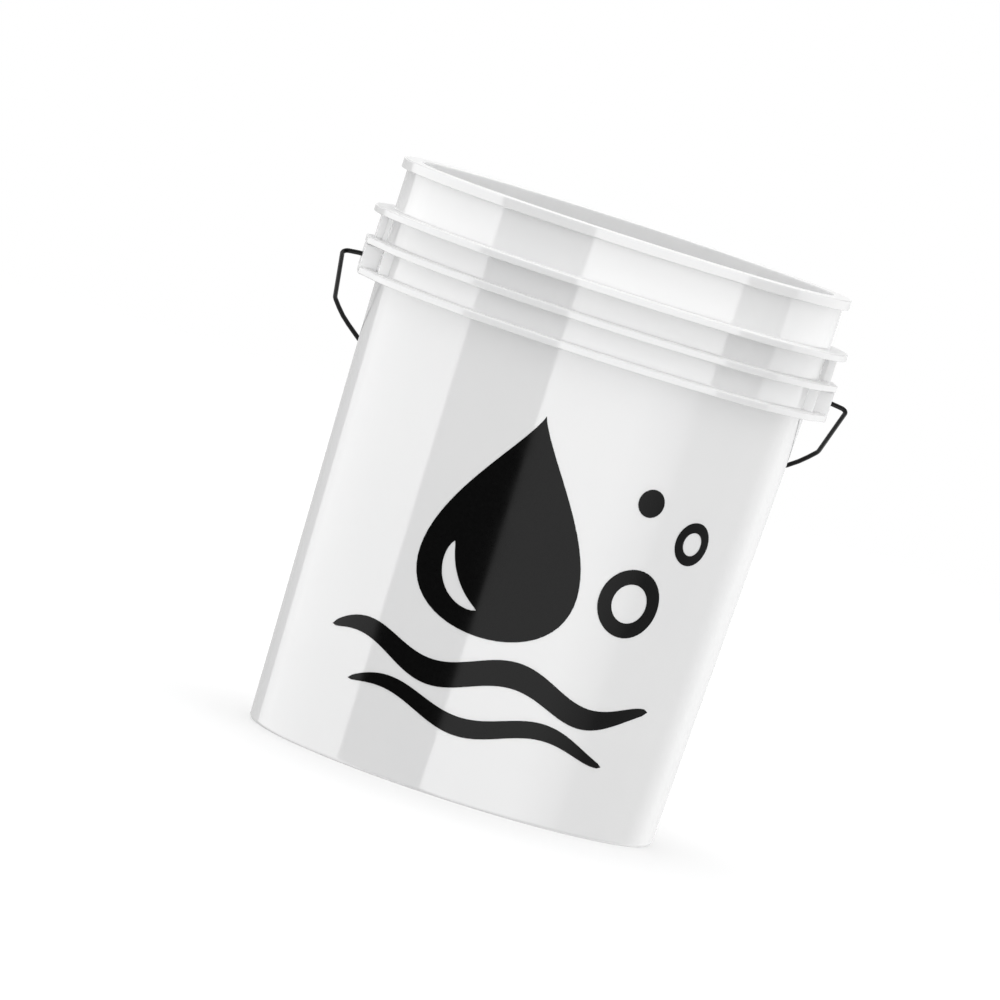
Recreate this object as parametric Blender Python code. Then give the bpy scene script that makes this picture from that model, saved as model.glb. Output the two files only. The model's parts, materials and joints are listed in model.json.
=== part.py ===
"""Twenty-litre car-wash bucket with a swinging wire bail and a lift-out grit guard.

Metres, +Z up. The bucket stands on the origin with its two ears on the X axis, and the
bail hangs down behind it, on the +Y side. The grit guard stands on the bucket's floor.
"""

import bmesh
import bpy
from math import asin, cos, pi, radians, sin, tan
from mathutils import Matrix, Vector

# ---- bucket shell -------------------------------------------------------------------
HEIGHT = 0.368              # floor to the top of the rim
WALL = 0.0023               # moulded wall thickness
BASE_RADIUS = 0.1338        # outside, at the foot
NECK_RADIUS = 0.1423        # outside, just under the lowest rib
MOUTH_RADIUS = 0.1445       # outside, between the top rib and the rim
RIM_RADIUS = 0.1485         # outside of the rim bead
RIM_TALL = 0.0067
LIP_RADIUS = 0.1362         # inside of the rim; from here the inner face slopes back to the wall
FOOT_ROUND = 0.0025         # radius of the outer corner at the foot
FOOT_WIDE = 0.0065          # width of the ring that it stands on
BASE_RECESS = 0.004         # height of the floor panel's underside
CENTRE_PAD_RADIUS = 0.030   # pad in the middle of the base, level with the foot
FLOOR_ROUND = 0.008         # inside corner between the wall and the floor
EDGE = 0.0006               # small chamfer on moulded edges
TOP_RIB_RADIUS = 0.1567
LOW_RIB_RADIUS = 0.1525
RIB_THICK = 0.0046
RIB_TOPS = (0.2940, 0.3138, 0.3345)   # upper faces of the three ribs, lowest first

# ---- ears, on the +X and -X sides ---------------------------------------------------
PIVOT_HEIGHT = 0.3013       # the bail's hinge axis above the floor
EAR_REACH = 0.1554          # outer face of the ear box from the axis
EAR_HALF = 0.015            # half its width
LEDGE_REACHES = (0.1550, 0.1558)  # the ribs' squared platforms below and above the ear box
LEDGE_HALF = 0.017
STEP_REACH = 0.1437         # lower, wider pad around the ear box
STEP_HALF = 0.041
GUSSET_REACH = 0.1512       # gusset between the top rib and the ear
GUSSET_HALF = 0.008
BORE_RADIUS = 0.0018        # hole for the bail's end
HEAD_CHAMBER_RADIUS = 0.0034
HEAD_CHAMBER = (0.1452, 0.1492)   # the wider part of the hole, from and to this reach

# ---- bail and its grip --------------------------------------------------------------
WIRE_RADIUS = 0.0015
HEAD_RADIUS = 0.0030
HEAD_REACH = (0.1458, 0.1486)     # the upset head that keeps the wire in the ear
BAIL_SLOPE = radians(37.5)        # how far below level the bail rests
BAIL_CORNERS = (                  # reach along X, distance from the hinge, bend radius
    (0.1572, 0.0, 0.004),
    (0.1677, 0.0021, 0.0045),
    (0.1619, 0.0555, 0.012),
    (0.1536, 0.0725, 0.090),
    (0.1260, 0.1080, 0.150),
    (0.0520, 0.1900, 0.012),
)
GRIP_LONG = 0.090
GRIP_RADIUS = 0.0105
GRIP_BORE = 0.0019

# ---- grit guard ---------------------------------------------------------------------
GUARD_RADIUS = 0.130
GUARD_TALL = 0.061          # feet of the vanes to the top of the grille
GRILLE_TALL = 0.0115
RING_COUNT = 9              # rings, equally spaced
RING_PITCH = 0.0130
RING_THICK = 0.0020
BAR_COUNT = 24              # radial bars; every sixth stands on a vane
BAR_THICK = 0.0020
FIRST_BAR = radians(45)     # direction of the first vane
SHORT_BAR_RING = 7          # ring, counted inward, where every second bar stops
VANE_THICK = 0.0022
VANE_TAPER = 0.008          # how far the vane's outer edge leans in at its foot
HUB_REACH = 0.0236          # half-length of the hub's crossing walls
HUB_RING_RADIUS = 0.0136
HUB_TUBE_RADIUS = 0.0110
HUB_TUBE_OFFSET = 0.0124
COLLAR_RADIUS = 0.0105      # small finger rings just inside the outer ring
COLLAR_CENTRE = 0.1180

FIT_GAP = 0.0003            # clearance between pieces that touch
TURN_STEPS = 72             # facets round the bucket
SMALL_STEPS = 24            # facets round small tubes


def clear_scene():
    """Remove every object, so that the script can be run again."""
    for obj in list(bpy.data.objects):
        bpy.data.objects.remove(obj, do_unlink=True)


def plastic(name, colour, roughness, metallic=0.0):
    """One Principled material."""
    mat = bpy.data.materials.new(name)
    mat.use_nodes = True
    shader = mat.node_tree.nodes["Principled BSDF"]
    shader.inputs["Base Color"].default_value = (*colour, 1.0)
    shader.inputs["Roughness"].default_value = roughness
    shader.inputs["Metallic"].default_value = metallic
    mat.diffuse_color = (*colour, 1.0)
    return mat


def add_object(name, bm, mat, origin=(0.0, 0.0, 0.0), smooth=True):
    """Turn a bmesh in world coordinates into an object whose origin is the given point."""
    bmesh.ops.recalc_face_normals(bm, faces=bm.faces)
    bmesh.ops.translate(bm, verts=bm.verts, vec=-Vector(origin))
    mesh = bpy.data.meshes.new(name)
    bm.to_mesh(mesh)
    bm.free()
    obj = bpy.data.objects.new(name, mesh)
    obj.location = origin
    bpy.context.scene.collection.objects.link(obj)
    if mat:
        mesh.materials.append(mat)
    if smooth:
        mesh.shade_smooth()
        mesh.set_sharp_from_angle(angle=radians(35))
    return obj


def add_cutter(name, bm):
    """A solid that only serves a Boolean modifier."""
    cutter = add_object(name, bm, None, smooth=False)
    cutter.hide_render = True
    cutter.display_type = "WIRE"
    return cutter


def combine(obj, cutter, operation):
    """Join or cut obj with another solid."""
    modifier = obj.modifiers.new(cutter.name, "BOOLEAN")
    modifier.operation = operation
    modifier.object = cutter
    modifier.solver = "EXACT"


def revolve(bm, profile, steps, spin=None):
    """Turn a profile of (radius, height) about Z.

    A profile that starts and ends on the axis gives a solid of revolution, and one that
    doesn't touch it is taken as a closed outline and gives a ring. spin maps each point.
    """
    closed = profile[0][0] > 0
    rings = []
    for radius, height in profile:
        if radius == 0:
            points = [Vector((0, 0, height))]
        else:
            turns = (2 * pi * n / steps for n in range(steps))
            points = [Vector((radius * cos(a), radius * sin(a), height)) for a in turns]
        rings.append([bm.verts.new(spin @ p if spin else p) for p in points])
    pairs = list(zip(rings, rings[1:]))
    if closed:
        pairs.append((rings[-1], rings[0]))
    for low, high in pairs:
        for n in range(steps):
            following = (n + 1) % steps
            corners = [low[n % len(low)], low[following % len(low)],
                       high[following % len(high)], high[n % len(high)]]
            bm.faces.new(list(dict.fromkeys(corners)))


def prism(bm, outline, bottom, top):
    """Extrude a plan outline of (x, y) points from one height to another."""
    low = [bm.verts.new((x, y, bottom)) for x, y in outline]
    high = [bm.verts.new((x, y, top)) for x, y in outline]
    bm.faces.new(low)
    bm.faces.new(high)
    for n in range(len(outline)):
        following = (n + 1) % len(outline)
        bm.faces.new((low[n], low[following], high[following], high[n]))


def turned(outline, angle):
    """A plan outline turned about Z."""
    return [(x * cos(angle) - y * sin(angle), x * sin(angle) + y * cos(angle))
            for x, y in outline]


def arc(centre, radius, start, end, count):
    """Points (u, v) along an arc, both ends included; angles in degrees."""
    angles = (radians(start + (end - start) * n / count) for n in range(count + 1))
    return [(centre[0] + radius * cos(a), centre[1] + radius * sin(a)) for a in angles]


# ---- bucket shell -------------------------------------------------------------------
def rib(wall_radius, reach, top):
    """Outer profile over one rib, from below it to above it."""
    bottom = top - RIB_THICK
    return [(wall_radius, bottom), (reach - EDGE, bottom), (reach, bottom + EDGE),
            (reach, top - EDGE), (reach - EDGE, top), (wall_radius, top)]


def shell_profile():
    """The bucket's section, from the middle of the base round to the middle of the floor."""
    foot_inner = BASE_RADIUS - FOOT_WIDE
    floor_top = BASE_RECESS + WALL
    corner = (BASE_RADIUS - FOOT_ROUND, FOOT_ROUND)
    low, middle, high = RIB_TOPS
    rim_bottom = HEIGHT - RIM_TALL
    inner_foot = BASE_RADIUS - WALL
    round_centre = (inner_foot - FLOOR_ROUND, floor_top + FLOOR_ROUND)
    base = [(0, 0), (CENTRE_PAD_RADIUS, 0), (CENTRE_PAD_RADIUS + EDGE, BASE_RECESS),
            (foot_inner - EDGE, BASE_RECESS), (foot_inner, 0)]
    outside = arc(corner, FOOT_ROUND, -90, 0, 3)
    outside += rib(NECK_RADIUS, LOW_RIB_RADIUS, low)
    outside += rib((NECK_RADIUS + MOUTH_RADIUS) / 2, LOW_RIB_RADIUS, middle)
    outside += rib(MOUTH_RADIUS, TOP_RIB_RADIUS, high)
    rim = [(MOUTH_RADIUS, rim_bottom), (RIM_RADIUS - EDGE, rim_bottom),
           (RIM_RADIUS, rim_bottom + EDGE), (RIM_RADIUS, HEIGHT - EDGE),
           (RIM_RADIUS - EDGE, HEIGHT), (LIP_RADIUS + EDGE, HEIGHT),
           (LIP_RADIUS, HEIGHT - EDGE), (NECK_RADIUS - WALL, low)]
    inside = list(reversed(arc(round_centre, FLOOR_ROUND, -90, 0, 4)))
    return base + outside + rim + inside + [(0, floor_top)]


def ear_block(bm, side, root, reach, half_width, bottom, top):
    """A block on one side of the bucket, with its inner face buried in the wall at root."""
    spread = asin(half_width / root)
    turns = [spread * (1 - n / 4) for n in range(9)]
    inner = [(root * cos(a), root * sin(a)) for a in turns]
    outline = inner + [(reach, -half_width), (reach, half_width)]
    prism(bm, [(side * x, y) for x, y in outline], bottom, top)


def make_bucket_shell(mat):
    """Wall, floor, rim, ribs and both ears, one moulding."""
    bm = bmesh.new()
    revolve(bm, shell_profile(), TURN_STEPS)
    shell = add_object("bucket_shell", bm, mat)
    low, middle, high = RIB_TOPS
    sink = RIB_THICK / 2            # how far a block runs into the rib it meets
    inset = EDGE / 3                # keeps the platforms' faces off the ribs' faces
    ear_root = NECK_RADIUS - WALL / 4
    gusset_root = MOUTH_RADIUS - WALL * 0.8
    blocks = {
        "step_pads": [(ear_root, STEP_REACH, STEP_HALF, low - sink, middle - sink)],
        "ear_boxes": [(ear_root, EAR_REACH, EAR_HALF, low - sink, middle - sink)],
        "gussets": [(gusset_root, GUSSET_REACH, GUSSET_HALF, middle - sink, high - sink)],
        "ledges": [(ear_root, reach, LEDGE_HALF, top - RIB_THICK + inset, top - inset)
                   for reach, top in zip(LEDGE_REACHES, (low, middle))],
    }
    for name, sizes in blocks.items():
        bm = bmesh.new()
        for side in (1, -1):
            for size in sizes:
                ear_block(bm, side, *size)
        combine(shell, add_cutter(name, bm), "UNION")
    bm = bmesh.new()
    inner, outer = HEAD_CHAMBER
    section = [(0, inner), (HEAD_CHAMBER_RADIUS, inner), (HEAD_CHAMBER_RADIUS, outer),
               (BORE_RADIUS, outer), (BORE_RADIUS, RIM_RADIUS + 0.02), (0, RIM_RADIUS + 0.02)]
    for side in (1, -1):
        lay = Matrix.Translation((0, 0, PIVOT_HEIGHT)) @ Matrix.Rotation(side * pi / 2, 4, "Y")
        revolve(bm, section, SMALL_STEPS, lay)
    combine(shell, add_cutter("bail_holes", bm), "DIFFERENCE")
    return shell


# ---- bail ---------------------------------------------------------------------------
def rounded_path(corners, step):
    """Points along straight runs joined by arcs; corners are (u, v, bend radius)."""
    points = [Vector(corners[0][:2])]
    for before, here, after in zip(corners, corners[1:], corners[2:]):
        corner = Vector(here[:2])
        back = (Vector(before[:2]) - corner).normalized()
        ahead = (Vector(after[:2]) - corner).normalized()
        half = back.angle(ahead) / 2
        centre = corner + (back + ahead).normalized() * here[2] / sin(half)
        start = corner + back * here[2] / tan(half) - centre
        turn = pi - 2 * half
        if back.cross(ahead) > 0:
            turn = -turn
        count = max(2, round(abs(turn) / step))
        for n in range(count + 1):
            angle = turn * n / count
            spun = Vector((start.x * cos(angle) - start.y * sin(angle),
                           start.x * sin(angle) + start.y * cos(angle)))
            points.append(centre + spun)
    points.append(Vector(corners[-1][:2]))
    return points


def bail_point(reach, drop):
    """A point of the resting bail: reach along X and distance from the hinge axis."""
    return Vector((reach, drop * cos(BAIL_SLOPE), -drop * sin(BAIL_SLOPE)))


def make_bail_wire(mat):
    """The wire hoop, with an upset head on each end; its origin is on the hinge axis."""
    middle = BAIL_CORNERS[-1][1]
    outline = [(HEAD_REACH[1], 0.0, 0.0), *BAIL_CORNERS, (0.0, middle, 0.0)]
    right = [(p, 1.0) for p in rounded_path(outline, radians(12))]
    head = HEAD_RADIUS / WIRE_RADIUS
    inner, outer = HEAD_REACH
    ends = [(Vector((inner, 0)), head), (Vector((outer - EDGE / 3, 0)), head)]
    right = ends + right
    left = [(Vector((-p.x, p.y)), size) for p, size in reversed(right[:-1])]
    curve = bpy.data.curves.new("bail_wire", "CURVE")
    curve.dimensions = "3D"
    curve.bevel_depth = WIRE_RADIUS
    curve.bevel_resolution = 2
    curve.use_fill_caps = True
    spline = curve.splines.new("POLY")
    spline.points.add(len(right + left) - 1)
    for point, (place, size) in zip(spline.points, right + left):
        point.co = (*bail_point(place.x, place.y), 1.0)
        point.radius = size
    curve.materials.append(mat)
    wire = bpy.data.objects.new("bail_wire", curve)
    wire.location = (0, 0, PIVOT_HEIGHT)
    bpy.context.scene.collection.objects.link(wire)
    return wire


def make_bail_grip(mat, wire):
    """The tube that turns on the bail's straight middle, with a collar at each end."""
    half = GRIP_LONG / 2
    neck = GRIP_RADIUS - 0.0018
    profile = [(GRIP_BORE, half), (neck, half), (GRIP_RADIUS, half - 0.0018),
               (GRIP_RADIUS, half - 0.006), (neck, half - 0.010), (GRIP_RADIUS - 0.0006, 0)]
    mirrored = [(radius, -height) for radius, height in reversed(profile[:-1])]
    bm = bmesh.new()
    middle = bail_point(0.0, BAIL_CORNERS[-1][1]) + Vector((0, 0, PIVOT_HEIGHT))
    lay = Matrix.Translation(middle) @ Matrix.Rotation(pi / 2, 4, "Y")
    revolve(bm, profile + mirrored, SMALL_STEPS, lay)
    grip = add_object("bail_grip", bm, mat, middle)
    grip.parent = wire
    grip.matrix_parent_inverse = Matrix.Translation(-wire.location)
    return grip


# ---- grit guard ---------------------------------------------------------------------
def bar_point(bar, side, radius):
    """The point at a radius on one side face of a bar; side is -1, 0 or +1."""
    lean = asin(side * BAR_THICK / 2 / radius)
    angle = FIRST_BAR + 2 * pi * bar / BAR_COUNT + lean
    return radius * cos(angle), radius * sin(angle)


def grille_column(column, radius):
    """Plan position of a column of the grille: a bar's two faces, then halfway on."""
    bar, place = divmod(column, 3)
    if place < 2:
        return bar_point(bar, (-1, 1)[place], radius)
    angle = FIRST_BAR + 2 * pi * (bar + 0.5) / BAR_COUNT
    return radius * cos(angle), radius * sin(angle)


def grille_cells():
    """Which cells of the polar grid are plastic: (column, row) pairs."""
    cells = set()
    for ring in range(RING_COUNT):
        cells |= {(column, 2 * ring) for column in range(3 * BAR_COUNT)}
    for bar in range(BAR_COUNT):
        last = RING_COUNT - 1 if bar % 2 == 0 else SHORT_BAR_RING
        cells |= {(3 * bar, 2 * gap + 1) for gap in range(last)}
    return cells


def make_grille(mat, bottom, top):
    """Rings and radial bars as one lattice, with a finger ring over each vane."""
    bm = bmesh.new()
    edges = []
    for ring in range(RING_COUNT):
        outer = GUARD_RADIUS - ring * RING_PITCH
        edges += [outer, outer - RING_THICK]
    columns = 3 * BAR_COUNT
    verts = {}

    def vert(column, row, height):
        key = (column % columns, row, height)
        if key not in verts:
            verts[key] = bm.verts.new((*grille_column(key[0], edges[row]), height))
        return verts[key]

    cells = grille_cells()
    for column, row in cells:
        for height in (bottom, top):
            bm.faces.new([vert(column, row, height), vert(column + 1, row, height),
                          vert(column + 1, row + 1, height), vert(column, row + 1, height)])
        sides = [((column, row - 1), (column, row), (column + 1, row)),
                 ((column, row + 1), (column, row + 1), (column + 1, row + 1)),
                 (((column - 1) % columns, row), (column, row), (column, row + 1)),
                 (((column + 1) % columns, row), (column + 1, row), (column + 1, row + 1))]
        for neighbour, start, end in sides:
            if neighbour not in cells:
                bm.faces.new([vert(*start, bottom), vert(*end, bottom),
                              vert(*end, top), vert(*start, top)])
    grille = add_object("guard_grille", bm, mat, (0, 0, bottom), smooth=False)
    bm = bmesh.new()
    for quarter in range(4):
        angle = FIRST_BAR + quarter * pi / 2
        place = (COLLAR_CENTRE * cos(angle), COLLAR_CENTRE * sin(angle), 0)
        section = tube_section(COLLAR_RADIUS, bottom + EDGE / 3, top - EDGE / 3)
        revolve(bm, section, SMALL_STEPS, Matrix.Translation(place))
    combine(grille, add_cutter("finger_rings", bm), "UNION")
    return grille


def tube_section(radius, bottom, top):
    """Section of an upright tube as thick as the guard's rings."""
    inner = radius - RING_THICK
    return [(inner, bottom), (radius, bottom), (radius, top), (inner, top)]


def make_vane(mat, number, foot, top):
    """One upright vane under a bar, leaning in at its foot to clear the bucket's corner."""
    angle = FIRST_BAR + number * pi / 2
    inner = HUB_REACH + FIT_GAP
    outer = GUARD_RADIUS - RING_THICK / 2
    corner = 0.006
    heel = (outer - VANE_TAPER - corner, foot + corner)
    outline = [(inner, foot), *arc(heel, corner, -90, 0, 3), (outer, top), (inner, top)]
    bm = bmesh.new()
    prism(bm, outline, -VANE_THICK / 2, VANE_THICK / 2)
    stand = Matrix.Rotation(angle, 4, "Z") @ Matrix.Rotation(pi / 2, 4, "X")
    bmesh.ops.transform(bm, matrix=stand, verts=bm.verts)
    origin = (inner * cos(angle), inner * sin(angle), foot)
    return add_object(f"guard_vane_{number + 1}", bm, mat, origin, smooth=False)


def make_hub(mat, foot, top):
    """The guard's middle: two crossing walls, a ring and two upright tubes."""
    bm = bmesh.new()
    slab = [(-HUB_REACH, -BAR_THICK / 2), (HUB_REACH, -BAR_THICK / 2),
            (HUB_REACH, BAR_THICK / 2), (-HUB_REACH, BAR_THICK / 2)]
    prism(bm, turned(slab, FIRST_BAR), foot, top)
    hub = add_object("guard_hub", bm, mat, (0, 0, foot), smooth=False)
    bm = bmesh.new()
    prism(bm, turned(slab, FIRST_BAR + pi / 2), foot + EDGE / 3, top - EDGE / 3)
    combine(hub, add_cutter("hub_cross_wall", bm), "UNION")
    bm = bmesh.new()
    revolve(bm, tube_section(HUB_RING_RADIUS, top - GRILLE_TALL, top - EDGE / 3), SMALL_STEPS)
    combine(hub, add_cutter("hub_ring", bm), "UNION")
    bm = bmesh.new()
    for side in (1, -1):
        place = Matrix.Translation((side * HUB_TUBE_OFFSET, 0, 0))
        revolve(bm, tube_section(HUB_TUBE_RADIUS, foot + EDGE, top - EDGE), SMALL_STEPS, place)
    combine(hub, add_cutter("hub_tubes", bm), "UNION")
    return hub


def main():
    clear_scene()
    white = plastic("white_polyethylene", (0.86, 0.86, 0.86), 0.28)
    black_wire = plastic("black_coated_wire", (0.012, 0.012, 0.013), 0.38)
    black_grip = plastic("black_grip_plastic", (0.018, 0.018, 0.020), 0.45)
    guard_black = plastic("black_guard_plastic", (0.020, 0.020, 0.022), 0.42)
    make_bucket_shell(white)
    wire = make_bail_wire(black_wire)
    make_bail_grip(black_grip, wire)
    foot = BASE_RECESS + WALL + FIT_GAP
    top = foot + GUARD_TALL
    grille_bottom = top - GRILLE_TALL
    grille = make_grille(guard_black, grille_bottom, top)
    loose = [make_vane(guard_black, n, foot, grille_bottom - FIT_GAP) for n in range(4)]
    loose.append(make_hub(guard_black, foot, top))
    for piece in loose:
        piece.parent = grille
        piece.matrix_parent_inverse = Matrix.Translation(-grille.location)


main()
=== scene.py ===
"""Looks of the wash bucket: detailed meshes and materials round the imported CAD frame."""

import json
from math import acos, asin, cos, hypot, pi, radians, sin, tan

import bmesh
import bpy
from mathutils import Matrix, Vector


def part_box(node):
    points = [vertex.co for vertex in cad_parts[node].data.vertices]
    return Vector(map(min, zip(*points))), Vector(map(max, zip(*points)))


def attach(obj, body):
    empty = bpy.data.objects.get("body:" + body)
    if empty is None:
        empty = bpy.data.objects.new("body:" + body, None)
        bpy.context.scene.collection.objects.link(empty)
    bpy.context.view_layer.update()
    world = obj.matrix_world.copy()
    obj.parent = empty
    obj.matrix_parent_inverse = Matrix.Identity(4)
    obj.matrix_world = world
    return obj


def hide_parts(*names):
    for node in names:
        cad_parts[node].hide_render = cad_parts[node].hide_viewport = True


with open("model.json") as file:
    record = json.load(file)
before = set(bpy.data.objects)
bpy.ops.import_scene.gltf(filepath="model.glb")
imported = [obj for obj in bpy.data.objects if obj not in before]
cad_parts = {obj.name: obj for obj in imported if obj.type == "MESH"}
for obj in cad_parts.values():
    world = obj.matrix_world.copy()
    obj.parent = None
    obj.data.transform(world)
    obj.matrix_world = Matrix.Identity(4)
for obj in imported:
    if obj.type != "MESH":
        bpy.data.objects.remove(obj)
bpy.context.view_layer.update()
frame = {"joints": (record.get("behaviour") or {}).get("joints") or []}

MM = 0.001

# ---- sizes read from the frame ------------------------------------------------------
shell_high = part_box("bucket_shell")[1]
grille_low, grille_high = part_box("guard_grille")
vane_low, vane_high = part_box("guard_vane_1")
hub_low, hub_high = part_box("guard_hub")
grip_low, grip_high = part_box("bail_grip")
joints = {joint["name"]: joint for joint in frame["joints"]}
pivot = Vector(joints["bail_swing"]["pos_m"])
grip_axis = Vector(joints["grip_roll"]["pos_m"])

# ---- bucket shell, as in the CAD part -----------------------------------------------
HEIGHT = shell_high.z
TOP_RIB_RADIUS = shell_high.x
WALL = 2.3 * MM
BASE_RADIUS = 133.8 * MM
NECK_RADIUS = 142.3 * MM
MOUTH_RADIUS = 144.5 * MM
RIM_RADIUS = 148.5 * MM
RIM_TALL = 6.7 * MM
LIP_RADIUS = 136.2 * MM
FOOT_WIDE = 6.5 * MM        # width of the ring that it stands on
FOOT_ROUND = 2.5 * MM
BASE_RECESS = 4 * MM
CENTRE_PAD_RADIUS = 30 * MM
FLOOR_ROUND = 8 * MM
LOW_RIB_RADIUS = 152.5 * MM
RIB_THICK = 4.6 * MM
RIB_TOPS = (294.0 * MM, 313.8 * MM, 334.5 * MM)    # upper faces, lowest first
RIB_TOP_ROUND = 1.0 * MM    # its upper edge, and the hollow corner above it
RIB_UNDER_ROUND = 0.6 * MM
RIB_UNDER_HOLLOW = 0.8 * MM
ROW_SHARES = (0.3, 0.8)     # upright walls between the ribs, from the neck to the mouth
EAR_REACH = 155.4 * MM      # outer face of the ear box
EAR_HALF = 15 * MM          # half its width
EAR_CORE_HALF = 13.6 * MM   # the core that shows in the grooves round the box
EAR_CORE_BACK = 1.2 * MM    # how far the core stays behind the box's face
EAR_OVERLAP = 0.1 * MM      # the box's foot sinks into the lower ledge
EAR_GROOVE = 0.6 * MM       # gap between the box and the upper ledge
LEDGE_REACHES = (155.0 * MM, 155.8 * MM)
LEDGE_HALF = 17 * MM
LEDGE_SHY = 0.05 * MM       # keeps a ledge's faces just inside its rib's
LEDGE_EDGE = 0.7 * MM
LEDGE_HOLD = 1.0 * MM       # short strip by a ledge's corner that keeps its side face flat
BLOCK_EDGE = 0.4 * MM
STEP_REACH = 143.7 * MM     # lower, wider pad round the ear box
STEP_HALF = 41 * MM
GUSSET_REACH = 151.2 * MM
GUSSET_HALF = 8 * MM
GUSSET_FLARE = 4 * MM       # how much wider it is at the wall, on each side
GUSSET_FLARE_DEEP = 3.8 * MM
BORE_RADIUS = 1.8 * MM
HEAD_CHAMBER_RADIUS = 3.4 * MM
HEAD_CHAMBER = (145.2 * MM, 149.2 * MM)
HOLE_MOUTH = 2 * MM         # how far the hole's flared mouth runs past the ear
SHELL_STEPS = 240

# ---- bail ---------------------------------------------------------------------------
WIRE_RADIUS = 1.5 * MM
HEAD_RADIUS = 3.0 * MM
HEAD_REACH = (145.8 * MM, 148.6 * MM)
BAIL_CORNERS = (                       # reach along X, distance from hinge, bend radius
    (157.2 * MM, 0.0, 4 * MM),
    (167.7 * MM, 2.1 * MM, 4.5 * MM),
    (161.9 * MM, 55.5 * MM, 12 * MM),
    (153.6 * MM, 72.5 * MM, 90 * MM),
    (126.0 * MM, 108 * MM, 150 * MM),
    (52.0 * MM, 190 * MM, 12 * MM),
)
BAIL_DIRECTION = (grip_axis - pivot).normalized()

# ---- guard --------------------------------------------------------------------------
GUARD_RADIUS = grille_high.x
RING_COUNT = 9
RING_PITCH = 13 * MM
RING_THICK = 2 * MM
BAR_COUNT = 24
BAR_THICK = 2 * MM
FIRST_BAR = radians(45)
SHORT_BAR_RING = 7
COLLAR_RADIUS = 10.5 * MM
COLLAR_CENTRE = 118 * MM
HUB_RING_RADIUS = 13.6 * MM
HUB_TUBE_RADIUS = 11 * MM
HUB_TUBE_OFFSET = 12.4 * MM
TUBE_RIB_COUNT = 8          # small ribs inside each hub tube
TUBE_RIB_DEEP = 3.0 * MM    # from the tube's outside to the rib's inner edge
TUBE_RIB_HALF = 0.7 * MM


# ---- mesh helpers -------------------------------------------------------------------
def rounded(corners, step=radians(15), closed=False):
    """Points along straight runs joined by arcs; corners are (u, v) or (u, v, bend radius)."""
    spots = list(corners)
    if closed:
        spots = [spots[-1], *spots, spots[0]]
    points = [] if closed else [Vector(spots[0][:2])]
    for before, here, after in zip(spots, spots[1:], spots[2:]):
        corner = Vector(here[:2])
        if len(here) < 3 or here[2] == 0:
            points.append(corner)
            continue
        back = (Vector(before[:2]) - corner).normalized()
        ahead = (Vector(after[:2]) - corner).normalized()
        half = back.angle(ahead) / 2
        centre = corner + (back + ahead).normalized() * here[2] / sin(half)
        start = corner + back * here[2] / tan(half) - centre
        turn = (pi - 2 * half) * (-1 if back.cross(ahead) > 0 else 1)
        count = max(2, round(abs(turn) / step))
        for n in range(count + 1):
            angle = turn * n / count
            points.append(centre + Vector((start.x * cos(angle) - start.y * sin(angle),
                                           start.x * sin(angle) + start.y * cos(angle))))
    if not closed:
        points.append(Vector(spots[-1][:2]))
    return points


def revolve(bm, profile, steps, spin=None):
    """Turn (radius, height) points about Z; on-axis ends close the solid, else it's a ring."""
    closed = profile[0][0] > 0
    rings = []
    for radius, height in profile:
        if radius == 0:
            points = [Vector((0, 0, height))]
        else:
            turns = (2 * pi * n / steps for n in range(steps))
            points = [Vector((radius * cos(a), radius * sin(a), height)) for a in turns]
        rings.append([bm.verts.new(spin @ p if spin else p) for p in points])
    pairs = list(zip(rings, rings[1:]))
    if closed:
        pairs.append((rings[-1], rings[0]))
    for low, high in pairs:
        for n in range(steps):
            after = (n + 1) % steps
            corners = [low[n % len(low)], low[after % len(low)],
                       high[after % len(high)], high[n % len(high)]]
            bm.faces.new(list(dict.fromkeys(corners)))


def prism(bm, outline, bottom, top):
    """Extrude a plan outline of (x, y) points from one height to another."""
    low = [bm.verts.new((x, y, bottom)) for x, y in outline]
    high = [bm.verts.new((x, y, top)) for x, y in outline]
    bm.faces.new(low)
    bm.faces.new(high)
    for n in range(len(outline)):
        after = (n + 1) % len(outline)
        bm.faces.new((low[n], low[after], high[after], high[n]))


def add_mesh(name, bm, mat=None):
    """A mesh object from a bmesh in frame coordinates, facing outward."""
    bmesh.ops.recalc_face_normals(bm, faces=bm.faces)
    mesh = bpy.data.meshes.new(name)
    bm.to_mesh(mesh)
    bm.free()
    obj = bpy.data.objects.new(name, mesh)
    bpy.context.scene.collection.objects.link(obj)
    if mat:
        mesh.materials.append(mat)
    return obj


def bevelled(name, bm, width, segments=3):
    """A helper solid with its edges rounded."""
    obj = add_mesh(name, bm)
    modifier = obj.modifiers.new("round", "BEVEL")
    modifier.width = width
    modifier.segments = segments
    modifier.limit_method = "ANGLE"
    modifier.angle_limit = radians(40)
    return obj


def combine(obj, helpers, operation):
    """Boolean obj with each helper, then remove the helpers."""
    for helper in helpers:
        modifier = obj.modifiers.new(helper.name, "BOOLEAN")
        modifier.operation = operation
        modifier.object = helper
        modifier.solver = "EXACT"
        settle(obj)
        bpy.data.objects.remove(helper)
    return obj


def settle(obj):
    """Apply every modifier on obj."""
    graph = bpy.context.evaluated_depsgraph_get()
    mesh = bpy.data.meshes.new_from_object(obj.evaluated_get(graph))
    obj.modifiers.clear()
    old = obj.data
    obj.data = mesh
    bpy.data.meshes.remove(old)


def finish_smooth(obj, angle=35.0):
    """Smooth shading with creases kept, and flat faces kept flat."""
    obj.data.shade_smooth()
    obj.data.set_sharp_from_angle(angle=radians(angle))
    modifier = obj.modifiers.new("flat_faces", "WEIGHTED_NORMAL")
    modifier.keep_sharp = True
    modifier.weight = 60
    return obj


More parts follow.
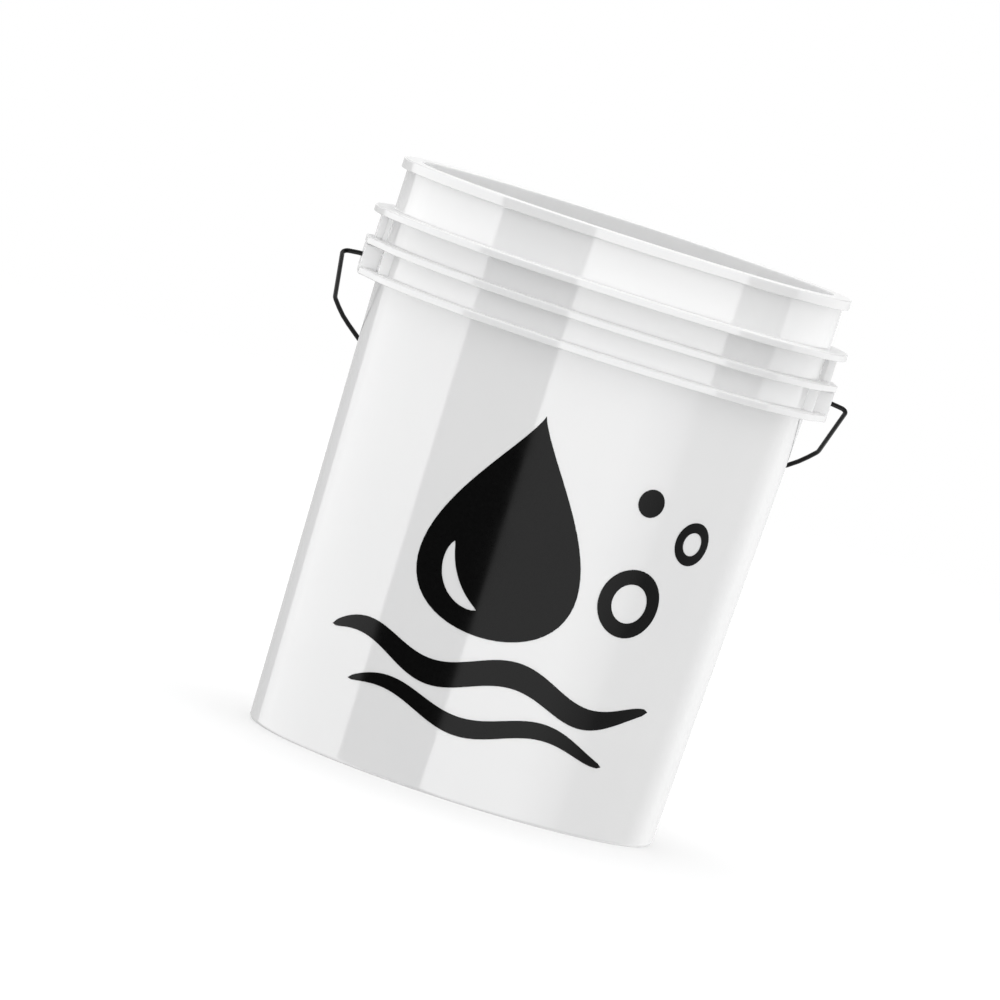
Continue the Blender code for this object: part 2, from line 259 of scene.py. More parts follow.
def show(obj, mat, body, slot, *nodes):
    """Give obj its one material and body, and let it stand for the CAD nodes. The slot argument
    is not used.
    """
    obj.data.materials.clear()
    obj.data.materials.append(mat)
    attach(obj, body)
    if nodes:
        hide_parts(*nodes)
    return obj


# ---- materials ----------------------------------------------------------------------
class Tree:
    """Short hand for wiring a node tree; place is the vector that its textures use."""

    def __init__(self, tree, place):
        self.tree = tree
        self.place = place

    def link(self, output, socket):
        self.tree.links.new(output, socket)

    def set(self, socket, value):
        """Put a number, a colour or another node's output on a socket."""
        if isinstance(value, (int, float)):
            socket.default_value = value
        elif isinstance(value, tuple):
            socket.default_value = (*value, 1)
        else:
            self.link(value, socket)

    def mapped(self, scale):
        node = self.tree.nodes.new("ShaderNodeMapping")
        node.inputs["Scale"].default_value = scale
        self.link(self.place, node.inputs["Vector"])
        return node.outputs["Vector"]

    def upward(self):
        """How far the surface faces up: 1 on a level top, 0 on a wall."""
        geometry = self.tree.nodes.new("ShaderNodeNewGeometry")
        parts = self.tree.nodes.new("ShaderNodeSeparateXYZ")
        self.link(geometry.outputs["Normal"], parts.inputs["Vector"])
        return parts.outputs["Z"]

    def noise(self, scale, detail=3.0, roughness=0.5, vector=None):
        node = self.tree.nodes.new("ShaderNodeTexNoise")
        node.inputs["Scale"].default_value = scale
        node.inputs["Detail"].default_value = detail
        node.inputs["Roughness"].default_value = roughness
        self.link(vector or self.place, node.inputs["Vector"])
        return node.outputs["Fac"]

    def remap(self, value, from_low, from_high, to_low, to_high):
        node = self.tree.nodes.new("ShaderNodeMapRange")
        self.link(value, node.inputs["Value"])
        limits = (from_low, from_high, to_low, to_high)
        for socket, number in zip(("From Min", "From Max", "To Min", "To Max"), limits):
            node.inputs[socket].default_value = number
        return node.outputs["Result"]

    def math(self, operation, first, second):
        node = self.tree.nodes.new("ShaderNodeMath")
        node.operation = operation
        self.set(node.inputs[0], first)
        self.set(node.inputs[1], second)
        return node.outputs["Value"]

    def mix(self, factor, first, second):
        node = self.tree.nodes.new("ShaderNodeMix")
        node.data_type = "RGBA"
        self.link(factor, node.inputs["Factor"])
        colours = [socket for socket in node.inputs if socket.type == "RGBA"]
        self.set(colours[0], first)
        self.set(colours[1], second)
        return next(socket for socket in node.outputs if socket.type == "RGBA")

    def ramp(self, value, stops, scale):
        """Grey levels, divided by scale, at places along a value."""
        node = self.tree.nodes.new("ShaderNodeValToRGB")
        elements = node.color_ramp.elements
        elements.remove(elements[1])
        for n, (place, level) in enumerate(stops):
            element = elements[0] if n == 0 else elements.new(place)
            element.position = place
            element.color = (level / scale, level / scale, level / scale, 1)
        self.link(value, node.inputs["Fac"])
        return node.outputs["Color"]

    def bump(self, height, distance, strength=1.0, under=None):
        node = self.tree.nodes.new("ShaderNodeBump")
        node.inputs["Strength"].default_value = strength
        node.inputs["Distance"].default_value = distance
        self.link(height, node.inputs["Height"])
        if under:
            self.link(under, node.inputs["Normal"])
        return node.outputs["Normal"]


class Finish(Tree):
    """A new Principled material and its tree, textured in the object's own metres."""

    def __init__(self, name, colour, roughness, **settings):
        self.material = bpy.data.materials.new(name)
        self.material.use_nodes = True
        tree = self.material.node_tree
        self.shader = tree.nodes["Principled BSDF"]
        self.shader.inputs["Base Color"].default_value = (*colour, 1)
        self.shader.inputs["Roughness"].default_value = roughness
        for socket, value in settings.items():
            self.shader.inputs[socket.replace("_", " ")].default_value = value
        super().__init__(tree, tree.nodes.new("ShaderNodeTexCoord").outputs["Object"])

    def feed(self, socket, value):
        self.link(value, self.shader.inputs[socket])


def white_polyethylene():
    """Glossy moulded polyethylene: faint clouding, flow lines, and light rubbing marks.

    Faces that look up are duller, because they are rubbed and catch dust.
    """
    made = Finish("white_polyethylene", (0.88, 0.88, 0.88), 0.06, IOR=1.66,
                  Subsurface_Weight=0.5, Subsurface_Scale=2 * MM)
    made.shader.inputs["Subsurface Radius"].default_value = (1.0, 1.0, 1.0)
    cloud = made.noise(9.0, 4.0)
    colour = made.mix(made.remap(cloud, 0.3, 0.7, 0.0, 1.0),
                      (0.872, 0.873, 0.875), (0.887, 0.887, 0.886))
    made.feed("Base Color", colour)
    rub = made.noise(60.0, 6.0, 0.7, made.mapped((1.0, 1.0, 0.25)))
    gloss = made.remap(rub, 0.35, 0.75, 0.04, 0.09)
    dulled = made.remap(made.upward(), 0.3, 0.95, 0.0, 0.26)
    made.feed("Roughness", made.math("ADD", gloss, dulled))
    peel = made.bump(made.noise(220.0, 2.0), 0.008 * MM, 0.5)
    flow = made.noise(14.0, 2.0, 0.5, made.mapped((1.0, 1.0, 0.12)))
    made.feed("Normal", made.bump(flow, 0.12 * MM, 0.3, peel))
    return made.material


def black_ink():
    """Screen-printed ink: nearly black, with the wall's own texture showing through."""
    made = Finish("black_ink", (0.004, 0.004, 0.004), 0.12, Specular_IOR_Level=0.125)
    speck = made.noise(420.0, 5.0, 0.65)
    colour = made.mix(made.remap(speck, 0.3, 0.8, 0.0, 1.0),
                      (0.0030, 0.0030, 0.0030), (0.0052, 0.0052, 0.0052))
    made.feed("Base Color", colour)
    made.feed("Roughness", made.remap(made.noise(35.0, 5.0), 0.3, 0.7, 0.08, 0.16))
    made.feed("Normal", made.bump(speck, 0.01 * MM, 0.4))
    return made.material


def coated_wire():
    """Black powder coat over steel wire: slightly pebbled, rubbed duller in places."""
    made = Finish("coated_wire", (0.003, 0.003, 0.003), 0.25, Specular_IOR_Level=0.15)
    wear = made.noise(90.0, 5.0, 0.6)
    colour = made.mix(made.remap(wear, 0.45, 0.8, 0.0, 1.0),
                      (0.002, 0.002, 0.002), (0.006, 0.006, 0.006))
    made.feed("Base Color", colour)
    made.feed("Roughness", made.remap(wear, 0.3, 0.8, 0.15, 0.3))
    made.feed("Normal", made.bump(made.noise(900.0, 3.0), 0.04 * MM, 0.6))
    return made.material


def satin_black(name, base, worn, grain):
    """Moulded black plastic with a fine spark-eroded grain and paler rubbed patches."""
    made = Finish(name, base, 0.4)
    patch = made.noise(26.0, 5.0, 0.6)
    made.feed("Base Color", made.mix(made.remap(patch, 0.4, 0.8, 0.0, 1.0), base, worn))
    made.feed("Roughness", made.remap(patch, 0.3, 0.75, 0.32, 0.5))
    made.feed("Normal", made.bump(made.noise(grain, 3.0, 0.6), 0.03 * MM, 0.7))
    return made.material


# ---- bucket shell -------------------------------------------------------------------
def rib_corners(wall_below, wall_above, reach, top):
    """Rounded corners of one rib, from below it to above it."""
    bottom = top - RIB_THICK
    return [(wall_below, bottom, RIB_UNDER_HOLLOW), (reach, bottom, RIB_UNDER_ROUND),
            (reach, top, RIB_TOP_ROUND), (wall_above, top, RIB_TOP_ROUND)]


def shell_profile():
    """The bucket's section, from the middle of the base round to the middle of the floor."""
    foot_inner = BASE_RADIUS - FOOT_WIDE
    floor_top = BASE_RECESS + WALL
    low, middle, high = RIB_TOPS
    lower_row, upper_row = (NECK_RADIUS + share * (MOUTH_RADIUS - NECK_RADIUS)
                            for share in ROW_SHARES)
    corners = [
        (0, 0), (CENTRE_PAD_RADIUS, 0, 0.6 * MM), (CENTRE_PAD_RADIUS + MM, BASE_RECESS, MM),
        (foot_inner - MM, BASE_RECESS, 1.5 * MM), (foot_inner, 0, 0.8 * MM),
        (BASE_RADIUS, 0, FOOT_ROUND),
        *rib_corners(NECK_RADIUS, lower_row, LOW_RIB_RADIUS, low),
        *rib_corners(lower_row, upper_row, LOW_RIB_RADIUS, middle),
        *rib_corners(upper_row, MOUTH_RADIUS, TOP_RIB_RADIUS, high),
        (MOUTH_RADIUS, HEIGHT - RIM_TALL, 0.6 * MM), (RIM_RADIUS, HEIGHT - RIM_TALL, 0.5 * MM),
        (RIM_RADIUS, HEIGHT, 1.0 * MM), (LIP_RADIUS, HEIGHT, MM),
        (NECK_RADIUS - WALL, low, 60 * MM), (BASE_RADIUS - WALL, floor_top, FLOOR_ROUND),
        (0, floor_top),
    ]
    return rounded(corners, radians(18))


def ear_block(side, root, reach, half_width, bottom, top, name, round_off=0.5 * MM,
              foot=None, shoulders=()):
    """A rounded block on one side of the bucket, its inner face buried in the wall.

    Foot is its half width at the wall, if that differs. Shoulders are more corners on the
    way out, each as its reach and its half width.
    """
    spread = asin((foot or half_width) / root)
    turns = [spread * (1 - n / 8) for n in range(17)]
    corners = [*shoulders, (reach, half_width)]
    outline = [(root * cos(a), root * sin(a)) for a in turns]
    outline += [(x, -y) for x, y in corners] + [(x, y) for x, y in reversed(corners)]
    bm = bmesh.new()
    prism(bm, [(side * x, y) for x, y in outline], bottom, top)
    return bevelled(name, bm, round_off)


def ledge_run(root, reach):
    """Half width at the wall, and shoulders, of a ledge whose sides leave the rib smoothly."""
    corner = Vector((reach, LEDGE_HALF))
    touch = LOW_RIB_RADIUS - 2 * LEDGE_SHY
    angle = asin(LEDGE_HALF / corner.length) + acos(touch / corner.length)
    start = Vector((touch * cos(angle), touch * sin(angle)))
    hold = corner + (start - corner).normalized() * LEDGE_HOLD
    return root * sin(angle), [tuple(start), tuple(hold)]


def make_shell(mat):
    """Wall, floor, rim, ribs and both ears as one moulding."""
    bm = bmesh.new()
    revolve(bm, shell_profile(), SHELL_STEPS)
    shell = add_mesh("bucket_moulding", bm)
    low, middle, high = RIB_TOPS
    sink = RIB_THICK / 2
    ear_root = NECK_RADIUS - WALL / 4
    gusset_root = MOUTH_RADIUS - WALL * 0.8
    under = middle - RIB_THICK
    for side in (1, -1):
        helpers = [
            ear_block(side, ear_root, STEP_REACH, STEP_HALF, low - sink, middle - sink, "step"),
            ear_block(side, ear_root, EAR_REACH - EAR_CORE_BACK, EAR_CORE_HALF, low - sink,
                      middle - sink, "core"),
            ear_block(side, ear_root, EAR_REACH, EAR_HALF, low - EAR_OVERLAP,
                      under - EAR_GROOVE, "box", BLOCK_EDGE),
            ear_block(side, gusset_root, GUSSET_REACH, GUSSET_HALF, middle - sink,
                      high - sink, "gusset", BLOCK_EDGE, GUSSET_HALF + GUSSET_FLARE,
                      [(gusset_root + GUSSET_FLARE_DEEP, GUSSET_HALF)]),
            *(ear_block(side, ear_root, reach, LEDGE_HALF, top - RIB_THICK + LEDGE_SHY,
                        top - LEDGE_SHY, "ledge", LEDGE_EDGE, *ledge_run(ear_root, reach))
              for reach, top in zip(LEDGE_REACHES, (low, middle))),
        ]
        combine(shell, helpers, "UNION")
    inner, outer = HEAD_CHAMBER
    mouth = EAR_REACH - 0.8 * MM
    section = [(0, inner), (HEAD_CHAMBER_RADIUS, inner), (HEAD_CHAMBER_RADIUS, outer),
               (BORE_RADIUS, outer), (BORE_RADIUS, mouth),
               (BORE_RADIUS + HOLE_MOUTH, mouth + HOLE_MOUTH), (0, mouth + HOLE_MOUTH)]
    for side in (1, -1):
        bm = bmesh.new()
        lay = Matrix.Translation(pivot) @ Matrix.Rotation(side * pi / 2, 4, "Y")
        revolve(bm, section, 32, lay)
        combine(shell, [add_mesh("hole", bm)], "DIFFERENCE")
    finish_smooth(shell)
    return show(shell, mat, "bucket", "white_plastic", "bucket_shell")


# ---- printed graphic ----------------------------------------------------------------
GRAPHIC_HALF = 125 * MM     # half of its width, measured round the wall
GRAPHIC_SLICES = 100        # upright cuts that let it bend round the wall
TRUE_WIDTH_HEIGHT = 150 * MM    # where the drawing wraps at its true width
INK_LIFT = 0.06 * MM        # back of the print, in front of the wall
INK_THICK = 0.07 * MM
DROP_CENTRE = (-20 * MM, 175 * MM)
DROP_WIDE, DROP_TALL = 106 * MM, 144 * MM
GLINT_CENTRE = (-21 * MM, 149 * MM)
GLINT_RADIUS, GLINT_THICK = 31 * MM, 10 * MM
GLINT_TURN = (168, 262)     # degrees
WATER_LINES = (             # left and right end, height, swing, thickness, crests
    (-122 * MM, 112 * MM, 80 * MM, 7 * MM, 17 * MM, 2.2),
    (-96 * MM, 88 * MM, 52 * MM, 6 * MM, 12 * MM, 1.7),
)
BUBBLES = (                 # place, height, radius, radius of the hole
    (68 * MM, 150 * MM, 22 * MM, 12.5 * MM),
    (100 * MM, 196 * MM, 14 * MM, 7.5 * MM),
    (60 * MM, 214 * MM, 9 * MM, 0.0),
)


def wall_radius(height):
    """Outside radius of the wall below the ribs."""
    share = height / (RIB_TOPS[0] - RIB_THICK)
    return BASE_RADIUS + (NECK_RADIUS - BASE_RADIUS) * share


def droplet(centre, width, height, points=72):
    """A water drop's outline, its tip up."""
    outline = []
    for n in range(points):
        angle = 2 * pi * n / points
        swell = sin(angle) * sin(angle / 2) ** 1.6
        outline.append((centre[0] + width * 0.72 * swell, centre[1] + height / 2 * cos(angle)))
    return outline


def ring(centre, radius, points=48, clockwise=False):
    """A circle's outline."""
    turns = (2 * pi * n / points * (-1 if clockwise else 1) for n in range(points))
    return [(centre[0] + radius * cos(a), centre[1] + radius * sin(a)) for a in turns]


def crescent(centre, radius, start, end, thick, points=20):
    """A curved highlight, pointed at both ends."""
    outer, inner = [], []
    for n in range(points + 1):
        share = n / points
        angle = radians(start + (end - start) * share)
        swell = thick / 2 * sin(pi * share) ** 0.7
        for side, row in ((1, outer), (-1, inner)):
            row.append((centre[0] + (radius + side * swell) * cos(angle),
                        centre[1] + (radius + side * swell) * sin(angle)))
    return outer + inner[-2:0:-1]


def wave(left, right, height, swing, thick, crests, points=64):
    """A water line that thins out towards both ends."""
    upper, lower = [], []
    for n in range(points + 1):
        share = n / points
        x = left + (right - left) * share
        middle = height + swing * sin(2 * pi * crests * share)
        swell = thick / 2 * sin(pi * share) ** 0.45
        upper.append((x, middle + swell))
        lower.append((x, middle - swell))
    return upper + lower[-2:0:-1]


def graphic_outlines():
    """A generic car-wash sign: a drop with a highlight, three bubbles and two water lines."""
    outlines = [
        droplet(DROP_CENTRE, DROP_WIDE, DROP_TALL),
        crescent(GLINT_CENTRE, GLINT_RADIUS, *GLINT_TURN, GLINT_THICK),
        *(wave(*line) for line in WATER_LINES),
    ]
    for x, z, radius, hole in BUBBLES:
        outlines.append(ring((x, z), radius))
        if hole:
            outlines.append(ring((x, z), hole, clockwise=True))
    return outlines


def make_graphic(mat):
    """The sign as a thin print that follows the wall's cone."""
    curve = bpy.data.curves.new("graphic_flat", "CURVE")
    curve.dimensions = "2D"
    curve.fill_mode = "BOTH"
    for outline in graphic_outlines():
        spline = curve.splines.new("POLY")
        spline.points.add(len(outline) - 1)
        for point, (x, z) in zip(spline.points, outline):
            point.co = (x, z, 0, 1)
        spline.use_cyclic_u = True
    flat = bpy.data.objects.new("graphic_flat", curve)
    bpy.context.scene.collection.objects.link(flat)
    bpy.context.view_layer.update()
    graph = bpy.context.evaluated_depsgraph_get()
    bm = bmesh.new()
    filled = bpy.data.meshes.new_from_object(flat.evaluated_get(graph))
    bm.from_mesh(filled)
    bpy.data.meshes.remove(filled)
    bpy.data.objects.remove(flat)
    bpy.data.curves.remove(curve)
    bmesh.ops.remove_doubles(bm, verts=bm.verts, dist=1e-6)
    for n in range(1, GRAPHIC_SLICES):
        x = (2 * n / GRAPHIC_SLICES - 1) * GRAPHIC_HALF
        bmesh.ops.bisect_plane(bm, geom=bm.verts[:] + bm.edges[:] + bm.faces[:],
                               plane_co=(x, 0, 0), plane_no=(1, 0, 0))
    bmesh.ops.dissolve_degenerate(bm, dist=1e-6, edges=bm.edges)
    raised = bmesh.ops.extrude_face_region(bm, geom=bm.faces[:])["geom"]
    top = {item for item in raised if isinstance(item, bmesh.types.BMVert)}
    for vert in bm.verts:
        height = vert.co.y
        radius = wall_radius(height) + INK_LIFT + (INK_THICK if vert in top else 0)
        angle = vert.co.x / wall_radius(TRUE_WIDTH_HEIGHT)
        vert.co = Vector((radius * sin(angle), -radius * cos(angle), height))
    print_obj = add_mesh("front_print", bm)
    print_obj.data.shade_smooth()
    print_obj.data.set_sharp_from_angle(angle=radians(40))
    return show(print_obj, mat, "bucket", "black_wire")


# ---- bail ---------------------------------------------------------------------------
def make_wire(mat):
    """The bent wire with an upset head inside each ear."""
    middle = BAIL_CORNERS[-1][1]
    inner, outer = HEAD_REACH
    run = rounded([(outer, 0.0), *BAIL_CORNERS, (0.0, middle)], radians(5))
    head = HEAD_RADIUS / WIRE_RADIUS
    ends = [(inner, 0.75 * head), (inner + 0.5 * MM, head), (outer - 0.6 * MM, head),
            (outer - 0.1 * MM, 0.7 * head)]
    right = [(Vector((reach, 0)), size) for reach, size in ends] + [(p, 1.0) for p in run]
    left = [(Vector((-p.x, p.y)), size) for p, size in reversed(right[:-1])]
    curve = bpy.data.curves.new("bail_hoop", "CURVE")
    curve.dimensions = "3D"
    curve.bevel_depth = WIRE_RADIUS
    curve.bevel_resolution = 6
    curve.use_fill_caps = True
    spline = curve.splines.new("POLY")
    spline.points.add(len(right + left) - 1)
    for point, (place, size) in zip(spline.points, right + left):
        spot = pivot + Vector((place.x, 0, 0)) + BAIL_DIRECTION * place.y
        point.co = (*spot, 1.0)
        point.radius = size
    wire = bpy.data.objects.new("bail_hoop", curve)
    bpy.context.scene.collection.objects.link(wire)
    bpy.context.view_layer.update()
    graph = bpy.context.evaluated_depsgraph_get()
    mesh = bpy.data.meshes.new_from_object(wire.evaluated_get(graph))
    bpy.data.objects.remove(wire)
    bpy.data.curves.remove(curve)
    hoop = bpy.data.objects.new("bail_hoop", mesh)
    bpy.context.scene.collection.objects.link(hoop)
    bm = bmesh.new()
    bm.from_mesh(mesh)
    bmesh.ops.remove_doubles(bm, verts=bm.verts, dist=1e-7)
    bmesh.ops.recalc_face_normals(bm, faces=bm.faces)
    bm.to_mesh(mesh)
    bm.free()
    mesh.shade_smooth()
    mesh.set_sharp_from_angle(angle=radians(50))
    return show(hoop, mat, "bail", "black_wire", "bail_wire")


def make_grip(mat):
    """The rolling grip: a waisted tube with end collars and shallow finger rings."""
    half = (grip_high.x - grip_low.x) / 2
    radius = (grip_high.z - grip_low.z) / 2
    bore = 1.9 * MM
    end_long = 13 * MM              # plain collar and neck at each end
    neck = radius - 2.0 * MM
    corners = [(bore, half, 0.3 * MM), (neck, half, 1.0 * MM),
               (radius, half - 2.0 * MM, 1.2 * MM), (radius, half - 6.0 * MM, 2.0 * MM),
               (neck, half - 10.0 * MM, 3.0 * MM)]
    ribs = 9
    pitch = 2 * (half - end_long) / ribs
    crest = radius - 0.6 * MM
    for n in range(ribs):
        start = half - end_long - n * pitch
        corners += [(neck, start, 1.2 * MM), (crest, start - pitch * 0.28, 1.4 * MM),
                    (crest, start - pitch * 0.72, 1.4 * MM)]
    corners.append((neck, -(half - end_long), 1.2 * MM))
    corners += [(size, -along, bend) for size, along, bend in reversed(corners[:5])]
    bm = bmesh.new()
    lay = Matrix.Translation(grip_axis) @ Matrix.Rotation(pi / 2, 4, "Y")
    revolve(bm, rounded(corners, radians(20), closed=True), 64, lay)
    grip = add_mesh("roller_grip", bm)
    finish_smooth(grip, 40)
    return show(grip, mat, "grip", "black_grip", "bail_grip")


# ---- grit guard ---------------------------------------------------------------------
SPAN = 6                    # facets of a ring between two bars


def grille_point(column, radius):
    """Plan position of a grille column: a bar's two faces, then steps to the next bar."""
    bar, place = divmod(column, SPAN + 1)
    pitch = 2 * pi / BAR_COUNT
    lean = asin(BAR_THICK / 2 / radius)
    if place < 2:
        angle = bar * pitch + (-lean, lean)[place]
    else:
        share = (place - 1) / SPAN
        angle = bar * pitch + lean + (pitch - 2 * lean) * share
    return radius * cos(FIRST_BAR + angle), radius * sin(FIRST_BAR + angle)


def grille_cells():
    """Which cells of the polar grid are plastic: (column, row) pairs."""
    wide = SPAN + 1
    cells = set()
    for ring_number in range(RING_COUNT):
        cells |= {(column, 2 * ring_number) for column in range(wide * BAR_COUNT)}
    for bar in range(BAR_COUNT):
        last = RING_COUNT - 1 if bar % 2 == 0 else SHORT_BAR_RING
        cells |= {(wide * bar, 2 * gap + 1) for gap in range(last)}
    return cells


def tube_section(radius, bottom, top, thick=RING_THICK):
    """Section of an upright tube."""
    inner = radius - thick
    return [(inner, bottom), (radius, bottom), (radius, top), (inner, top)]


def make_grille(mat):
    """Rings and radial bars as one lattice, with a finger ring over each vane."""
    bottom, top = grille_low.z, grille_high.z
    columns = (SPAN + 1) * BAR_COUNT
    edges = []
    for ring_number in range(RING_COUNT):
        outer = GUARD_RADIUS - ring_number * RING_PITCH
        edges += [outer, outer - RING_THICK]
    bm = bmesh.new()
    verts = {}

    def vert(column, row, height):
        key = (column % columns, row, height)
        if key not in verts:
            verts[key] = bm.verts.new((*grille_point(key[0], edges[row]), height))
        return verts[key]

    cells = grille_cells()
    for column, row in sorted(cells):
        for height in (bottom, top):
            bm.faces.new([vert(column, row, height), vert(column + 1, row, height),
                          vert(column + 1, row + 1, height), vert(column, row + 1, height)])
        sides = [((column, row - 1), (column, row), (column + 1, row)),
                 ((column, row + 1), (column, row + 1), (column + 1, row + 1)),
                 (((column - 1) % columns, row), (column, row), (column, row + 1)),
                 (((column + 1) % columns, row), (column + 1, row), (column + 1, row + 1))]
        for neighbour, start, end in sides:
            if neighbour not in cells:
                bm.faces.new([vert(*start, bottom), vert(*end, bottom),
                              vert(*end, top), vert(*start, top)])
    grille = add_mesh("grille_lattice", bm)
    for quarter in range(4):
        angle = FIRST_BAR + quarter * pi / 2
        place = Matrix.Translation((COLLAR_CENTRE * cos(angle), COLLAR_CENTRE * sin(angle), 0))
        bm = bmesh.new()
        revolve(bm, tube_section(COLLAR_RADIUS, bottom + 0.2 * MM, top - 0.2 * MM), 48, place)
        combine(grille, [add_mesh("finger_ring", bm)], "UNION")
    soften(grille, 0.3 * MM)
    return show(grille, mat, "grit_guard", "black_guard", "guard_grille")


def soften(obj, width):
    """A small moulded radius on every sharp edge."""
    modifier = obj.modifiers.new("radius", "BEVEL")
    modifier.width = width
    modifier.segments = 2
    modifier.limit_method = "ANGLE"
    modifier.angle_limit = radians(50)
    settle(obj)
    bm = bmesh.new()
    bm.from_mesh(obj.data)
    bmesh.ops.dissolve_degenerate(bm, dist=2e-6, edges=bm.edges)
    bm.to_mesh(obj.data)
    bm.free()
    finish_smooth(obj, 40)


def vane_stations():
    """Stations along a vane: (radius, half thickness, bottom height)."""
    inner = hypot(vane_low.x, vane_low.y)
    outer = GUARD_RADIUS - RING_THICK / 2
    foot = vane_low.z
    top = vane_high.z
    thin, thick = 1.0 * MM, 1.9 * MM    # half thickness of the sheet, and at a rib
    rib_half, run_out = 1.0 * MM, 0.3 * MM
    raised = 1.2 * MM                   # how far the sheet's edge is above the ribs' feet
    heel = outer - 8 * MM
    last_rib = heel - 6 * MM
    corner = 7 * MM                     # round corner at the foot of the heel
    rim_gap = 3 * MM                    # the heel stops this far below the vane's top
    stations = [(inner, thin, foot)]
    radius = inner + RING_PITCH
    while radius < last_rib:
        stations += [(radius - rib_half - run_out, thin, foot + raised),
                     (radius - rib_half, thick, foot),
                     (radius + rib_half, thick, foot),
                     (radius + rib_half + run_out, thin, foot + raised)]
        radius += 2 * RING_PITCH
    for n in range(7):
        angle = radians(90 * n / 7)
        stations.append((heel - corner + corner * sin(angle), thin,
                         foot + corner * (1 - cos(angle))))
    for n in range(9):
        share = n / 8
        stations.append((heel + (outer - heel) * share, thin,
                         foot + corner + (top - foot - corner - rim_gap) * share))
    return stations


def make_vane(mat, number):
    """One upright vane with ribs on both faces, feet under the ribs and a leaning heel."""
    angle = FIRST_BAR + number * pi / 2
    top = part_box(f"guard_vane_{number + 1}")[1].z
    bm = bmesh.new()
    rows = []
    for radius, half, bottom in vane_stations():
        rows.append([bm.verts.new((radius, side * half, height))
                     for side, height in ((1, top), (-1, top), (-1, bottom), (1, bottom))])
    for near, far in zip(rows, rows[1:]):
        for n in range(4):
            after = (n + 1) % 4
            bm.faces.new((near[n], near[after], far[after], far[n]))
    bm.faces.new(rows[0])
    bm.faces.new(rows[-1])
    bmesh.ops.rotate(bm, verts=bm.verts, cent=(0, 0, 0), matrix=Matrix.Rotation(angle, 3, "Z"))
    vane = add_mesh(f"vane_{number + 1}", bm)
    soften(vane, 0.2 * MM)
    return show(vane, mat, "grit_guard", "black_guard", f"guard_vane_{number + 1}")


def make_hub(mat):
    """Two crossing walls, a ring and two upright tubes with small ribs inside."""
    foot, top = hub_low.z, hub_high.z
    reach = HUB_TUBE_OFFSET + HUB_TUBE_RADIUS + 0.2 * MM
    hub = None
    for turn in range(2):
        bm = bmesh.new()
        slab = [(-reach, -BAR_THICK / 2), (reach, -BAR_THICK / 2),
                (reach, BAR_THICK / 2), (-reach, BAR_THICK / 2)]
        prism(bm, slab, foot + turn * 0.1 * MM, top - turn * 0.1 * MM)
        bmesh.ops.rotate(bm, verts=bm.verts, cent=(0, 0, 0),
                         matrix=Matrix.Rotation(FIRST_BAR + turn * pi / 2, 3, "Z"))
        wall = add_mesh("hub", bm)
        hub = combine(hub, [wall], "UNION") if hub else wall
    bm = bmesh.new()
    depth = grille_high.z - grille_low.z
    revolve(bm, tube_section(HUB_RING_RADIUS, top - depth, top - 0.2 * MM), 64)
    combine(hub, [add_mesh("hub_ring", bm)], "UNION")
    for side in (1, -1):
        bm = bmesh.new()
        place = Matrix.Translation((side * HUB_TUBE_OFFSET, 0, 0))
        section = tube_section(HUB_TUBE_RADIUS, foot + 0.4 * MM, top - 0.4 * MM, 1.8 * MM)
        revolve(bm, section, 48, place)
        combine(hub, [add_mesh("hub_tube", bm)], "UNION")
        for n in range(TUBE_RIB_COUNT):
            bm = bmesh.new()
            angle = (n + 0.5) * 2 * pi / TUBE_RIB_COUNT
            inner = HUB_TUBE_RADIUS - TUBE_RIB_DEEP
            rib = [(inner, -TUBE_RIB_HALF), (HUB_TUBE_RADIUS - MM, -TUBE_RIB_HALF),
                   (HUB_TUBE_RADIUS - MM, TUBE_RIB_HALF), (inner, TUBE_RIB_HALF)]
            prism(bm, rib, foot + 0.8 * MM, top - 1.2 * MM)
            bmesh.ops.transform(bm, verts=bm.verts,
                                matrix=place @ Matrix.Rotation(angle, 4, "Z"))
            combine(hub, [add_mesh("tube_rib", bm)], "UNION")
    soften(hub, 0.2 * MM)
    return show(hub, mat, "grit_guard", "black_guard", "guard_hub")


# ---- studio -------------------------------------------------------------------------
YAW = -3.1                  # the camera's azimuth, in degrees
ELEVATION = 3.79            # how far it looks down, in degrees
ROLL = 17.89                # in degrees
DISTANCE = 5.9              # from the point that it looks at
LENS, SENSOR = 335.4, 36.0  # in millimetres
AIM_LEFT = 24.8 * MM        # the picture's middle, from the bucket's middle
AIM_UP = 2.9 * MM
FLOOR_RADIUS = 4.0
FLOOR_FADE = (2.0, 3.9)     # the floor fades out from the first distance to the second
FLOOR_WHITE = 0.88

# What glossy surfaces mirror, as radiances. Azimuths are in degrees from the camera's side,
# positive to its right.
PANEL_SCALE = 4.0           # brightest radiance that a ramp can hold
LEFT_PANELS = [
    (-180, 0.8), (-165, 0.60), (-145, 0.50), (-144.0, 1.3), (-131, 1.85),
    (-106, 2.2), (-65.9, 2.35), (-65.1, 0.1), (-15.3, 0.1), (-14.5, 2.65),
]
LOW_RING = [
    *LEFT_PANELS, (35, 2.65), (47, 2.2), (60, 1.6), (65, 1.2), (67, 0.9), (92, 0.8),
    (100, 0.8), (102, 0.85), (121, 0.85), (131, 1.2), (144, 1.5), (164, 1.1), (180, 0.8),
]
HIGH_RING = [
    *LEFT_PANELS, (66, 2.4), (67, 0.1), (100, 0.1), (101, 1.2), (121, 1.5),
    (144, 1.4), (164, 1.0), (180, 0.8),
]
BACKDROP = [
    (-180, 0.93), (-150, 0.93), (-131, 1.3), (-106, 2.0), (-65.9, 2.2), (-65.1, 0.1),
    (-15.3, 0.1), (-14.5, 2.6), (66, 2.2), (100, 1.1), (131, 1.0), (180, 0.93),
]
DOME = [(0.0, 0.28), (0.3, 0.38), (0.5, 0.7), (0.75, 0.98), (1.0, 1.5)]    # by height
